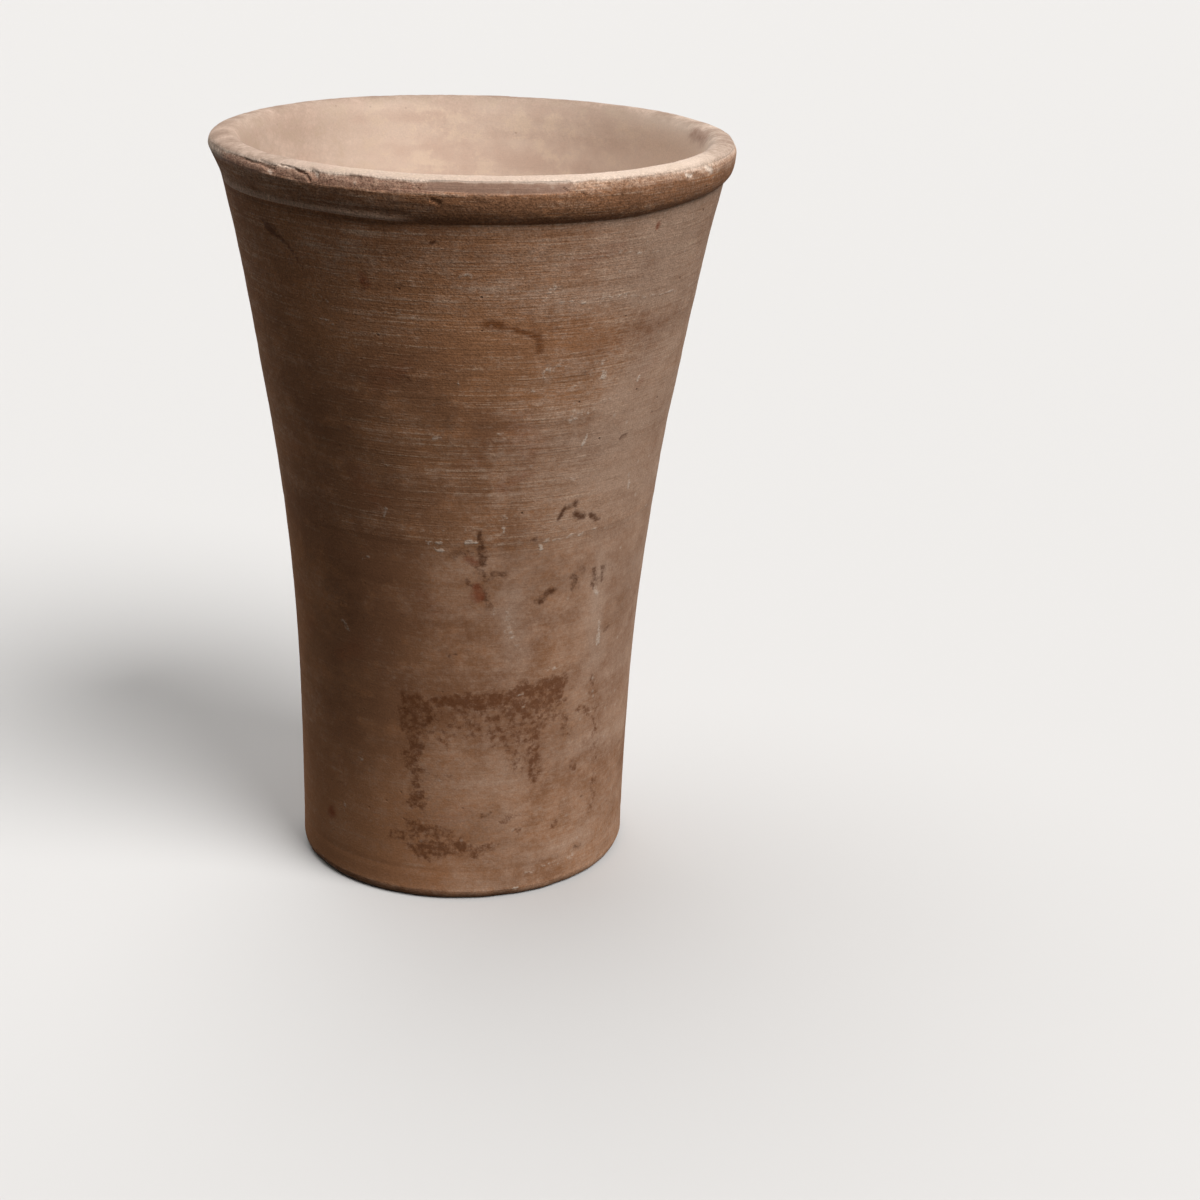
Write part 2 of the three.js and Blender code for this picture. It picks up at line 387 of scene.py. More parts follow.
def scattered(seed, count, tilt, length, half_width, strength):
    """Strokes strewn all round the wall. Each of the last three is a (least, most) pair."""
    random = np.random.default_rng(seed)
    strokes = []
    for _ in range(count):
        angle = random.uniform(-180, 180)
        level = random.uniform(*SCATTER_LEVELS)
        run = random.uniform(*length)
        way = math.radians(tilt) + random.normal(0, SCATTER_SWAY)
        turn = math.degrees(run * math.cos(way) / GIRTH_RADIUS)
        rise = run * math.sin(way)
        size = random.uniform(*half_width)
        strokes.append((angle, level, angle + turn, level + rise, size, random.uniform(*strength)))
    return strokes


STAINS += scattered(1, count=70, tilt=10, length=(0.4, 2.5), half_width=(0.6, 1.1), strength=(0.25, 0.6))
CHALK += scattered(2, count=90, tilt=3, length=(0.5, 4), half_width=(0.6, 1.0), strength=(0.3, 0.6))
CHALK += scattered(3, count=30, tilt=80, length=(0.5, 4), half_width=(0.6, 1.1), strength=(0.3, 0.55))
RUST += scattered(4, count=36, tilt=20, length=(1, 8), half_width=(2, 5), strength=(0.15, 0.32))
SMUDGES += scattered(5, count=16, tilt=40, length=(4, 14), half_width=(5, 9), strength=(0.12, 0.26))


def stray(girth, level, waver, seed):
    """How far strokes stray one way at each point."""
    coarse = girth.noise(level, along=3.2, upright=3.2, seed=seed)
    fine = girth.noise(level, along=1.3, upright=1.3, seed=seed + 1)
    return waver * (0.6 * coarse + 0.4 * fine)


def stroke_mask(girth, level, strokes, radius, core=0.3, reach=1.3, waver=1.0):
    """How strongly the strokes mark each point, from 0 to 1: fully up to core half widths from a stroke's
    middle line, and not at all beyond reach half widths. waver is how far they stray."""
    angle, level = np.broadcast_arrays(girth.angles, level)
    stray_along, stray_up = stray(girth, level, waver, seed=31), stray(girth, level, waver, seed=33)
    swell = 1 + 0.45 * girth.noise(level, along=4, upright=4, seed=35)
    lowest, highest = level.min(), level.max()
    mask = np.zeros(level.shape)
    for angle_a, level_a, angle_b, level_b, half_width, strength in strokes:
        margin = reach * 1.5 * half_width + waver
        if max(level_a, level_b) < lowest - margin or min(level_a, level_b) > highest + margin:
            continue
        turn = np.remainder(angle - math.radians(angle_a) + math.pi, 2 * math.pi) - math.pi
        along, up = radius * turn + stray_along, level - level_a + stray_up
        run, rise = radius * math.radians(angle_b - angle_a), level_b - level_a
        share = np.clip((along * run + up * rise) / (run * run + rise * rise), 0, 1)
        distance = np.hypot(along - share * run, up - share * rise) / (half_width * swell)
        mask = np.maximum(mask, strength * (1 - smooth(core, reach, distance)))
    return mask


# Clay pieces


def new_object(name, data):
    thing = bpy.data.objects.new(name, data)
    bpy.context.scene.collection.objects.link(thing)
    return thing


class Rows:
    """Rows of a closed profile, each a ring of points with its marks."""

    MARKS = (
        "pale", "film", "wipe", "warm", "worn", "smooth_patch", "stain", "smudge", "label", "run", "rust",
        "chalk", "ground", "grit", "dirt",
    )

    def __init__(self, girth):
        self.girth = girth
        self.radius, self.height, self.hidden = [], [], []
        self.marks = {name: [] for name in self.MARKS}

    def add(self, radius, height, hidden=False, **marks):
        """A stretch of rows. hidden is true where the faces after each of them lie in a joint."""
        radius, height, _ = np.broadcast_arrays(radius, height, self.girth.angles)
        self.radius.append(radius)
        self.height.append(height)
        self.hidden += [hidden] * len(radius)
        for name in self.MARKS:
            self.marks[name].append(np.broadcast_to(marks.get(name, 0.0), radius.shape))

    def end_in_joint(self):
        """The face after the last row so far lies in a joint."""
        self.hidden[-1] = True

    def points(self):
        radius, height = np.concatenate(self.radius), np.concatenate(self.height)
        across = radius * np.sin(self.girth.angles) + LEAN * height
        return np.stack([across, -radius * np.cos(self.girth.angles), height], -1).reshape(-1, 3)

    def bands(self, count):
        """Faces from each of the first rows to the row after it."""
        columns = self.girth.columns
        ring = np.arange(columns)
        after = np.roll(ring, -1)
        faces = []
        for row in range(count):
            low, high = row * columns, (row + 1) % len(self.hidden) * columns
            faces.append(np.stack([low + ring, low + after, high + after, high + ring], -1))
        return np.concatenate(faces).tolist()

    def fan(self, row, middle, upward):
        """Faces from a row to the point in its middle."""
        ring = row * self.girth.columns + np.arange(self.girth.columns)
        after = np.roll(ring, -1)
        sides = (ring, after) if upward else (after, ring)
        return np.stack([*sides, np.full(len(ring), middle)], -1).tolist()

    def add_marks(self, mesh):
        for name, parts in self.marks.items():
            values = np.concatenate(parts).ravel()
            values = np.append(values, np.full(len(mesh.vertices) - len(values), values[-1]))
            mesh.attributes.new(name, "FLOAT", "POINT").data.foreach_set("value", values.astype(np.float32))

    def object(self, name, material, to_axis=False):
        """The closed mesh. With to_axis its profile ends on the axis twice, and else it closes on itself."""
        points, columns, last = self.points(), self.girth.columns, len(self.hidden) - 1
        bands = last if to_axis else last + 1
        faces = self.bands(bands)
        hidden = np.repeat(self.hidden[:bands], columns).tolist()
        if to_axis:
            faces += self.fan(0, len(points), upward=False) + self.fan(last, len(points) + 1, upward=True)
            hidden += [False] * 2 * columns
            middles = self.height[0][0].mean(), self.height[-1][-1].mean()
            points = np.vstack([points, [(LEAN * z, 0, z) for z in middles]])
        mesh = bpy.data.meshes.new(name)
        mesh.from_pydata((points * MM).tolist(), [], faces)
        mesh.attributes.new("sharp_face", "BOOLEAN", "FACE").data.foreach_set("value", hidden)
        self.add_marks(mesh)
        mesh.materials.append(material)
        return new_object(name, mesh)


def wall_zones(girth, height):
    """Shares of the zones that the outer face's finish differs by."""
    degrees = girth.degrees
    return SimpleNamespace(
        above_belt=smooth(BELT_Z - 5, BELT_Z + 3, height),
        near_foot=1 - smooth(5, 60, height),
        below_rim=smooth(GROOVE_Z - 60, GROOVE_Z, height),
        to_right=smooth(-20, 62, degrees) * (1 - smooth(95, 180, degrees)),
        behind=smooth(0.45, 0.15, girth.front),
    )


def wall_film_and_light(girth, height, zones):
    """How thickly the wiped film lies on the outer face; the mark also paints light below the groove, and
    towards the right it is partly a painted sheen.
    """
    above_belt, near_foot, to_right = zones.above_belt, zones.near_foot, zones.to_right
    degrees = girth.degrees
    # Painted light on the wall just below the groove, over the shadow that the rim casts there.
    lit_below_groove = smooth(GROOVE_Z - 36, GROOVE_Z - 8, height) * window(-24, 46, 22, degrees)
    brown_band = window(138, 150, 8, height) * window(0, 34, 18, degrees)
    grey_band = window(112, 128, 8, height) * window(12, 46, 12, degrees)
    below_belt = (1 - above_belt) * window(-12, 14, 14, degrees)
    left_edge = above_belt * window(-100, -72, 30, degrees)
    film = 0.17 + 0.04 * above_belt + 0.15 * below_belt + 0.16 * zones.behind + 0.08 * left_edge
    # Towards the right the film is thicker: partly real haze, partly a painted sheen where the key lamp
    # falls.
    film = film + 0.08 * near_foot * (1 - to_right) + mix(0.48, 0.24, near_foot) * to_right
    return film + 0.14 * lit_below_groove - 0.16 * brown_band + 0.1 * grey_band


def wall_wipe(girth, height, zones):
    """How strongly the outer face shows the lines of wiping, which stop at the belt seam."""
    combed = 0.45 + 0.55 * window(-18, 24, 26, girth.degrees) + 0.4 * zones.below_rim + 0.35 * zones.behind
    combed = combed + 0.35 * girth.noise(height, along=60, upright=35, seed=41)
    combed = np.clip(combed, 0.2, 1) * mix(0.7, 1, smooth(BELT_Z, BELT_Z + 60, height))
    return mix(0.2, combed, zones.above_belt)


def outside_rows(rows, start, end):
    """The outer face of a wall between two heights, with its marks."""
    girth = rows.girth
    height = mix(start, end, shares(np.max(end - start), OUTSIDE_STEP))
    radius = float(np.mean(plain_outside(height)))
    zones = wall_zones(girth, height)

    def marked(strokes, **options):
        return stroke_mask(girth, height, strokes, radius, **options)

    warm_foot = zones.near_foot * window(-80, -12, 28, girth.degrees)
    warm_top = window(150, 174, 12, height) * window(-38, 24, 20, girth.degrees)
    # Painted shade just below the groove at the left, carried by the smudge mark.
    shade_below_groove = bell(height, girth.groove() - 0.7, 0.6) * window(-70, -20, 12, girth.degrees)
    low_grit, high_grit = mix(0.25, 0.35, zones.above_belt), mix(0.75, 0.5, zones.to_right)
    rows.add(
        girth.outside(height), height,
        film=wall_film_and_light(girth, height, zones) + 0.3 * marked(HAZE, core=0.0, reach=1.6, waver=3),
        wipe=wall_wipe(girth, height, zones),
        warm=0.65 * warm_foot + 0.4 * warm_top,
        grit=mix(low_grit, high_grit, zones.below_rim),
        smudge=np.maximum(marked(SMUDGES, core=0.0, reach=1.5, waver=3), 0.6 * shade_below_groove),
        stain=marked(STAINS, core=0.0, reach=1.5),
        label=marked(LABEL_GHOST, core=0.3, reach=1.4),
        run=marked(RUNS, core=0.2, reach=1.8, waver=0.6),
        rust=marked(RUST, core=0.0, reach=1.4),
        chalk=marked(CHALK),
    )


def inside_rows(rows, start, end):
    """The inner face of a wall between two heights, ending in a joint."""
    girth = rows.girth
    height = mix(start, end, shares(abs(end - start), INSIDE_STEP))
    # Painted shade at the left of the inner face, and painted light at its right.
    dirt, lit_share = INSIDE_PAINTED_SHADE * girth.left_share, INSIDE_PAINTED_LIGHT * girth.right_share
    rows.add(girth.inside(height), height, pale=1.0, grit=INSIDE_GRIT, dirt=dirt, film=lit_share)
    rows.end_in_joint()


def tongue_corners(girth):
    """(radius, height) of the seat and tongue's corners, from outside to inside."""
    middle = (girth.outside(GROOVE_Z) + girth.inside(GROOVE_Z)) / 2
    seat = GROOVE_Z + TONGUE_SHOULDER
    tip = seat + TONGUE_HEIGHT
    return [
        (middle + TONGUE_ROOT_WIDTH / 2, seat),
        (middle + TONGUE_TIP_WIDTH / 2, tip),
        (middle - TONGUE_TIP_WIDTH / 2, tip),
        (middle - TONGUE_ROOT_WIDTH / 2, seat),
    ]


def underside_rows(rows):
    """The standing face, scuffed near its edge."""
    radius = column(np.linspace(AXIS_GAP, STANDING_RADIUS, UNDERSIDE_ROWS))
    scuffed = smooth(STANDING_RADIUS - SCUFF_WIDTH, STANDING_RADIUS, radius)
    rows.add(radius, 0.0, ground=scuffed, grit=FOOT_GRIT)


def foot_edge_rows(rows):
    """The worn round edge between the standing face and the wall."""
    turn = shares(FOOT_EDGE, FOOT_EDGE / EDGE_ROWS)[1:]
    height = bezier(turn, 0.0, 0.0, FOOT_EDGE)
    wear = FOOT_WEAR * (1 + WALL.noise(height, along=6, upright=8, seed=11)) * np.sin(turn * math.pi)
    radius = bezier(turn, STANDING_RADIUS, FOOT_RADIUS, FOOT_RADIUS)
    radius = radius + turn * (WALL.outside(height) - FOOT_RADIUS)
    scuffed, chalk = 1 - smooth(0, 0.4, turn), stroke_mask(WALL, height, CHALK, FOOT_RADIUS)
    rows.add(radius - wear, height, film=0.35, wipe=0.3, grit=FOOT_GRIT, ground=scuffed, chalk=chalk)


def floor_rows(rows):
    """The curve from the wall to the floor, and the floor with its swirl and a low boss."""
    seat = DISC_SEAM_Z + SCARF_RISE
    wall = WALL.inside(seat)
    sweep = shares(FLOOR_SWEEP, INSIDE_STEP)
    curve = bezier(sweep, wall, wall, FLOOR_RADIUS), bezier(sweep, seat, FLOOR_Z, FLOOR_Z)
    rows.add(*curve, pale=1.0, grit=FLOOR_GRIT)
    radius = column(np.linspace(FLOOR_RADIUS, AXIS_GAP, FLOOR_ROWS))[1:]
    swirl = SWIRL_DEPTH * np.sin(2 * math.pi * radius / SWIRL_PITCH - WALL.angles)
    swirl = swirl * window(6, FLOOR_RADIUS - 4, 4, radius)
    boss = BOSS_HEIGHT * (1 - smooth(0, BOSS_RADIUS, radius))
    rows.add(radius, FLOOR_Z + swirl + boss, pale=1.0, grit=FLOOR_GRIT)


def make_base_disc(material):
    rows = Rows(WALL)
    underside_rows(rows)
    foot_edge_rows(rows)
    outside_rows(rows, FOOT_EDGE + OUTSIDE_STEP, DISC_SEAM_Z)
    rows.end_in_joint()
    floor_rows(rows)
    return rows.object("base_disc_clay", material, to_axis=True)


def make_lower_wall(material):
    rows = Rows(WALL)
    outside_rows(rows, DISC_SEAM_Z, BELT_Z)
    rows.end_in_joint()
    inside_rows(rows, BELT_Z + SCARF_RISE, DISC_SEAM_Z + SCARF_RISE)
    return rows.object("lower_wall_clay", material)


def make_upper_wall(material):
    rows = Rows(WALL)
    outside_rows(rows, BELT_Z, WALL.groove())
    rows.end_in_joint()
    for radius, height in tongue_corners(WALL):
        rows.add(radius, height, hidden=True)
    inside_rows(rows, GROOVE_Z, BELT_Z + SCARF_RISE)
    return rows.object("upper_wall_clay", material)


# The rim


def rim_curves():
    """(length, corners) of the curves from the groove over the roll, bevel and crest to the seam inside. The
    rim is a full roll at the front and the right, and a thin everted lip at the left."""
    full = 0.5 + 0.5 * np.sin(RIM.angles + math.radians(40))
    near_front = RIM.front ** 4
    groove_z, crest = RIM.groove(), RIM.crest()
    groove, seam = RIM.outside(groove_z), RIM.inside(GROOVE_Z)
    seam_slope = seam - RIM.inside(GROOVE_Z - 1)
    sway = RIM.wobble(HEIGHT)
    widest = RIM_RADIUS - 0.3 * (1 + RIM.rightward) + sway
    widest_z = crest - mix(2.6, 4.2, near_front)
    worn = 0.3 * window(-60, -14, 12, RIM.degrees) + 0.35 * window(30, 80, 25, RIM.degrees)
    edge = widest - mix(0.2, 0.8, near_front) - worn
    edge_z = crest - mix(1.5, 1.1, near_front)
    rise, fall = widest_z - groove_z, 0.5 * (crest - GROOVE_Z)
    roll_foot = (groove + mix(0.1, 1.8, full), groove_z + mix(0.33, 0.12, full) * rise)
    roll_side = (widest - mix(2.2, 0, full), widest_z - mix(0.5, 0.6, full) * rise)
    bevel_start = (widest, mix(widest_z, edge_z, 0.45))
    shoulder = (edge - mix(0.5, 0.1, full), crest - 0.1)
    summit, mouth = (CREST_RADIUS + sway, crest), (MOUTH_RADIUS + sway, crest)
    throat = (seam + seam_slope * fall, GROOVE_Z + fall)
    return [
        (ROLL_LENGTH, [(groove, groove_z), roll_foot, roll_side, (widest, widest_z)]),
        (BEVEL_LENGTH, [(widest, widest_z), bevel_start, (edge, edge_z)]),
        (CREST_LENGTH, [(edge, edge_z), shoulder, summit]),
        (MOUTH_LENGTH, [summit, mouth, throat, (seam, GROOVE_Z)]),
    ]


def rim_profile():
    """(radius, height, row of the lip's edge) of the rim before wear."""
    radius, height, rows = [], [], []
    for index, (length, corners) in enumerate(rim_curves()):
        share = shares(length, RIM_STEP)[1 if index else 0 :]
        shape = (len(share), RIM.columns)
        radii, levels = zip(*corners)
        radius.append(np.broadcast_to(bezier(share, *radii), shape))
        height.append(np.broadcast_to(bezier(share, *levels), shape))
        rows.append(len(share))
    return np.concatenate(radius), np.concatenate(height), rows[0] + rows[1] - 1


def rim_surface():
    """The rim before wear, and where each of its points lies on it."""
    radius, height, edge_row = rim_profile()
    along_radius, along_height = np.gradient(radius, axis=0), np.gradient(height, axis=0)
    step = np.hypot(along_radius, along_height)
    run = np.cumsum(step, axis=0)
    depth = run[edge_row] - run  # below the lip's edge along the surface, and negative over the top
    coarse = RIM.noise(run, along=5, upright=4, seed=21)
    ragged = coarse + 0.6 * RIM.noise(run, along=1.8, upright=1.6, seed=22)
    return SimpleNamespace(
        radius=radius,
        height=height,
        out=along_height / step,  # the way that the surface faces
        up=-along_radius / step,
        run=run,
        depth=depth,
        ragged=ragged,
        frayed=depth + 0.3 * ragged,
        grain=RIM.noise(run, along=0.9, upright=0.8, seed=23),
        on_outside=depth > -3,
        over_top=smooth(0.6, -1.0, depth),
        at_right=smooth(22, 60, RIM.degrees) * (1 - smooth(120, 160, RIM.degrees)),
        at_left=window(-75, -18, 12, RIM.degrees),
    )


def rim_mask(rim, strokes, waver):
    return rim.on_outside * stroke_mask(RIM, rim.depth, strokes, RIM_RADIUS, 0.2, 1.2, waver)


def rim_wear(rim):
    """Shares of the flakes, the smooth patch at the front, its ledge, cracks, chips and a thin ridge. The
    ledge and the ridge are raised in the mesh and also get a painted highlight.
    """
    depth, ragged, degrees = rim.depth, rim.ragged, RIM.degrees
    flake_depth = smooth(-1.2, 0.4, depth) * (1 - smooth(2.2, 2.9, depth + 0.5 * ragged))
    patch_depth = window(-0.3, 1.9, 0.4, depth + 0.15 * ragged)
    at_ledge = window(-17, -2.6, 1, degrees)
    ledge_depth = mix(2.2, 2.8, smooth(-17, -3, degrees))
    at_ridge = window(-70, -20, 10, degrees)
    return SimpleNamespace(
        flake=rim.on_outside * window(-72, -9, 5, degrees + 3 * ragged) * flake_depth,
        patch=rim.on_outside * window(-9, 17.6, 2.5, degrees + 2.2 * ragged) * patch_depth,
        ledge_and_highlight=at_ledge * bell(depth + 0.2 * ragged, ledge_depth, 0.28),
        below_ledge=at_ledge * window(2.7, 4.5, 1.2, depth),
        ridge_and_highlight=at_ridge * bell(rim.run, 1.2, 0.9),
        above_ridge=at_ridge * bell(rim.run, 3.0, 0.9),
        cracks=rim_mask(rim, RIM_CRACKS, waver=0.6),
        chips=rim_mask(rim, LIP_CHIPS, waver=0.8),
    )


def rim_lift(rim, wear):
    """How far the worn surface stands out from the plain one, and nothing at its ends."""
    rough = (0.045 * rim.grain + 0.07 * rim.ragged) * mix(0.5, 1, rim.over_top)
    rough = rough * (1 - 0.75 * smooth(5, 9, -rim.depth))
    raised = 0.42 * wear.ridge_and_highlight + 0.14 * wear.below_ledge + 0.12 * wear.ledge_and_highlight
    sunk = 0.2 * wear.flake + 0.16 * wear.patch + 0.4 * (wear.cracks + wear.chips) + 0.2 * wear.above_ridge
    off_ends = smooth(0, 1.0, rim.run) * smooth(0, 1.0, rim.run[-1:] - rim.run)
    return (rough + raised - sunk) * off_ends


def rim_pale(rim):
    """Pale over the top, fading down the bevel, with pale chips and a pale left end."""
    over_lip = 1 - smooth(mix(-0.7, -2.0, rim.at_right), mix(0.6, 2.2, rim.at_right), rim.frayed)
    on_bevel = 0.24 * (1 - smooth(0.2, 2.8, rim.frayed))
    chips = 0.9 * rim_mask(rim, PALE_CHIPS, waver=0.8)
    left_end = 0.7 * window(-112, -70, 8, RIM.degrees) * (1 - smooth(1.2, 3.4, rim.frayed))
    return np.maximum.reduce([over_lip, on_bevel, chips, rim.on_outside * left_end])


def rim_film_and_light(rim, wear):
    """The wiped film outside, with painted highlights on the ledge and the ridge, and painted light over the
    lip and inside towards the right.
    """
    on_bevel = 1 - smooth(1.8, 3.2, rim.frayed)
    outside = 0.16 + 0.12 * rim.at_right + 0.3 * (rim.at_left + on_bevel + wear.ledge_and_highlight) + 0.6 * wear.ridge_and_highlight
    # Painted light over the lip and inside at the right.
    lit_share = INSIDE_PAINTED_LIGHT * RIM.right_share * mix(0.45, 1, smooth(3, 8, -rim.depth))
    return mix(np.clip(outside, 0, 1), lit_share, smooth(-0.5, 1.5, -rim.depth))


def lip_painted_shade(rim):
    """Painted shade over the lip everywhere but the front and the right, and more painted shade over the lip
    and inside at the left.
    """
    shade_off_front = (1 - 0.6 * window(-28, 50, 26, RIM.degrees)) * (1 - smooth(4, 11, -rim.depth))
    shade_at_left = RIM.left_share * mix(LIP_PAINTED_SHADE_SHARE, INSIDE_PAINTED_SHADE, smooth(5, 10, -rim.depth))
    return rim.over_top * np.maximum(shade_off_front, shade_at_left)


def rim_grit(rim, wear):
    outside = mix(0.95, 0.65, rim.at_right)
    inside = mix(0.3, 0.12, smooth(4, 8, -rim.depth))
    return mix(outside, inside, smooth(-0.4, 1.4, -rim.depth)) * (1 - 0.7 * wear.patch)


def rim_painted_shade(rim, wear):
    """Painted shade below the bevel and under the roll."""
    below_bevel = smooth(1.6, 3.6, rim.depth + 0.4 * rim.ragged)
    under_roll = smooth(4, 7.5, rim.depth)
    return (0.42 * below_bevel + 0.2 * under_roll) * (1 - wear.ridge_and_highlight) * (1 - 0.5 * rim.at_left)


def rim_core(rim, wear):
    """Bare core in the flakes, and a trace of it along the rubbed roll."""
    rubbed = window(-6, 75, 12, RIM.degrees) * window(2.2, 5.5, 1.4, rim.depth)
    return np.clip(0.85 * wear.flake + 0.15 * rubbed * (1 - wear.patch), 0, 1)


def rim_stain_and_shade(rim, wear):
    # Stains in the cracks, and painted shade in the groove under the roll.
    groove_shade = bell(rim.run, 0, 1.1) * smooth(-24, -4, RIM.degrees)
    return np.clip(0.6 * wear.cracks + 0.4 * groove_shade, 0, 1)


def rim_rust(rim):
    """A rusty patch inside at the right, and a small one on the crest at the back."""
    inside = window(96, 104, 8, RIM.degrees) * bell(rim.depth, -8.2, 2.8)
    behind = window(168, 171, 2, RIM.degrees) * bell(rim.depth, -3.5, 1.2)
    return 0.5 * (inside + behind)


def make_rim_band(material):
    rim = rim_surface()
    wear = rim_wear(rim)
    lift = rim_lift(rim, wear)
    rows = Rows(RIM)
    rows.add(
        rim.radius + lift * rim.out, rim.height + lift * rim.up,
        pale=rim_pale(rim),
        film=rim_film_and_light(rim, wear),
        wipe=1.0,
        worn=rim_core(rim, wear),
        smooth_patch=wear.patch,
        stain=rim_stain_and_shade(rim, wear),
        smudge=rim_painted_shade(rim, wear),
        rust=rim_rust(rim),
        # Painted highlights on the ledge and the ridge.
        chalk=0.4 * wear.ledge_and_highlight + 0.12 * wear.ridge_and_highlight,
        grit=rim_grit(rim, wear),
        dirt=lip_painted_shade(rim),
    )
    rows.end_in_joint()
    for radius, height in reversed(tongue_corners(RIM)):
        rows.add(radius, height, hidden=True)
    return rows.object("rim_band_clay", material)


# Materials


def srgb(red, green, blue):
    """A linear colour from the values that a picture shows, 0 to 255."""
    def linear(value):
        value /= 255
        return value / 12.92 if value <= 0.04045 else ((value + 0.055) / 1.055) ** 2.4
    return (linear(red), linear(green), linear(blue), 1.0)


WIPE_TILT = math.radians(2.6)
CLAY_BROWN = srgb(156, 111, 79)
CLAY_DARK = srgb(138, 96, 68)
CLAY_ORANGE = srgb(171, 118, 80)
CLAY_WARM = srgb(186, 131, 92)
# The film's colour, which also paints light below the groove and a partly painted sheen at the right.
FILM_AND_LIGHT_GREY = srgb(188, 158, 137)
# Painted shade on the lip and the inside at the left.
LIP_SHADE_GREY = srgb(150, 126, 110)
PALE_CLAY = srgb(225, 203, 185)
PALE_WARM = srgb(229, 206, 183)
# Painted light where the film mark is high on pale clay, inside and over the lip at the right.
PALE_FILM_AND_LIGHT = srgb(246, 224, 205)
PALE_ROSE = srgb(210, 184, 166)
CORE_BROWN = srgb(148, 112, 92)
CORE_RED = srgb(132, 92, 74)
PATCH_GREY = srgb(150, 119, 102)
# Stains and pits, and painted shade in the groove under the roll.
STAIN_AND_SHADE_BROWN = srgb(80, 46, 25)
RUN_BROWN = srgb(108, 60, 24)
# Smudges and dark hairs, and painted shade under the roll and below the groove.
SMUDGE_AND_SHADE_BROWN = srgb(92, 60, 37)
LABEL_BROWN = srgb(98, 55, 27)
RUST_RED = srgb(130, 66, 38)
# Chalk and lime specks, and painted highlights on the rim's ledge and ridge.
CHALK_AND_HIGHLIGHT_WHITE = srgb(212, 193, 176)
STREAK_PALE = srgb(206, 175, 148)
GROUND_DARK = srgb(110, 82, 62)


class Graph:
    """Short forms for the nodes of a material or world."""

    def __init__(self, owner):
        owner.use_nodes = True
        self.tree = owner.node_tree

    def put(self, node, inputs):
        """Values or other nodes' outputs for a node's inputs, by their names or numbers."""
        for key, value in inputs.items():
            if isinstance(value, bpy.types.NodeSocket):
                self.tree.links.new(value, node.inputs[key])
            else:
                node.inputs[key].default_value = value

    def shader(self, name, inputs):
        """The shader node that the tree came with."""
        self.put(self.tree.nodes[name], inputs)

    def node(self, kind, inputs):
        node = self.tree.nodes.new("ShaderNode" + kind)
        self.put(node, inputs)
        return node

    def math(self, operation, *values):
        node = self.node("Math", dict(enumerate(values)))
        node.operation = operation
        return node.outputs[0]

    def add(self, *values):
        total = values[0]
        for value in values[1:]:
            total = self.math("ADD", total, value)
        return total

    def times(self, *values):
        product = values[0]
        for value in values[1:]:
            product = self.math("MULTIPLY", product, value)
        return product

    def rest(self, share):
        return self.math("SUBTRACT", 1.0, share)

    def rise(self, value, low, high, to_low=0.0, to_high=1.0):
        """A smooth step of value from low to high."""
        limits = {"From Min": low, "From Max": high, "To Min": to_low, "To Max": to_high}
        node = self.node("MapRange", {"Value": value, **limits})
        node.interpolation_type = "SMOOTHSTEP"
        return node.outputs["Result"]

    def blend(self, share, base, other, how="MIX"):
        node = self.node("Mix", {})
        node.data_type = "RGBA"
        node.blend_type = how
        self.put(node, {0: share, 6: base, 7: other})
        return node.outputs[2]

    def cover(self, base, other, *shares):
        """A colour covered by another one, as far as the product of the shares."""
        return self.blend(self.times(*shares), base, other)


class ClayGraph(Graph):
    """The clay's nodes, with its noise patterns and the marks that the meshes carry."""

    def __init__(self, owner):
        super().__init__(owner)
        self.place = self.node("TexCoord", {}).outputs["Object"]
        self.noise = SimpleNamespace(
            bands=self.pattern(16, 150, detail=2, rough=0.5, tilt=WIPE_TILT),
            strips=self.pattern(44, 640, detail=3, rough=0.6, tilt=WIPE_TILT),
            dashes=self.pattern(260, 2300, detail=3, rough=0.6, tilt=WIPE_TILT),
            hairs=self.pattern(48, 2700, detail=2, rough=0.55, tilt=WIPE_TILT),
            patches=self.pattern(38, 48, detail=3, rough=0.55),
            blotches=self.pattern(160, 210, detail=3, rough=0.6),
            powder=self.pattern(560, 900, detail=3, rough=0.65),
            mottle=self.pattern(620, 620, detail=3, rough=0.7),
            flecks=self.pattern(820, 900, detail=3, rough=0.65),
            grain=self.pattern(2100, 2400, detail=2, rough=0.6),
        )
        self.mark = SimpleNamespace(**{name: self.attribute(name) for name in Rows.MARKS})

    def attribute(self, name):
        node = self.node("Attribute", {})
        node.attribute_name = name
        return node.outputs["Fac"]

    def cells(self, kind, across, upright, tilt=0.0):
        """A texture node with so many cells to the metre. tilt turns its level planes about Y."""
        scale = (across, across, upright)
        place = self.node("Mapping", {"Vector": self.place, "Rotation": (0, tilt, 0), "Scale": scale})
        return self.node(kind, {"Vector": place.outputs["Vector"], "Scale": 1.0})

    def pattern(self, across, upright, detail, rough, tilt=0.0):
        texture = self.cells("TexNoise", across, upright, tilt)
        self.put(texture, {"Detail": detail, "Roughness": rough})
        return texture.outputs["Fac"]

    def spots(self, cells, inner, outer, missing):
        """Round spots at scattered points, with a share of the points left out."""
        texture = self.cells("TexVoronoi", cells, cells)
        number = self.node("SeparateColor", {0: texture.outputs["Color"]})
        near = self.rest(self.rise(texture.outputs["Distance"], inner, outer))
        return self.times(near, self.rise(number.outputs[0], missing, missing + 0.02))

    def weighed(self, **weights):
        """The sum of the named patterns, each times its weight."""
        return self.add(*[self.times(getattr(self.noise, name), weight) for name, weight in weights.items()])

    def sway(self, **sizes):
        """The sum of the named patterns' departures from their middle, each spread to its size."""
        return self.math("SUBTRACT", self.weighed(**sizes), 0.5 * sum(sizes.values()))


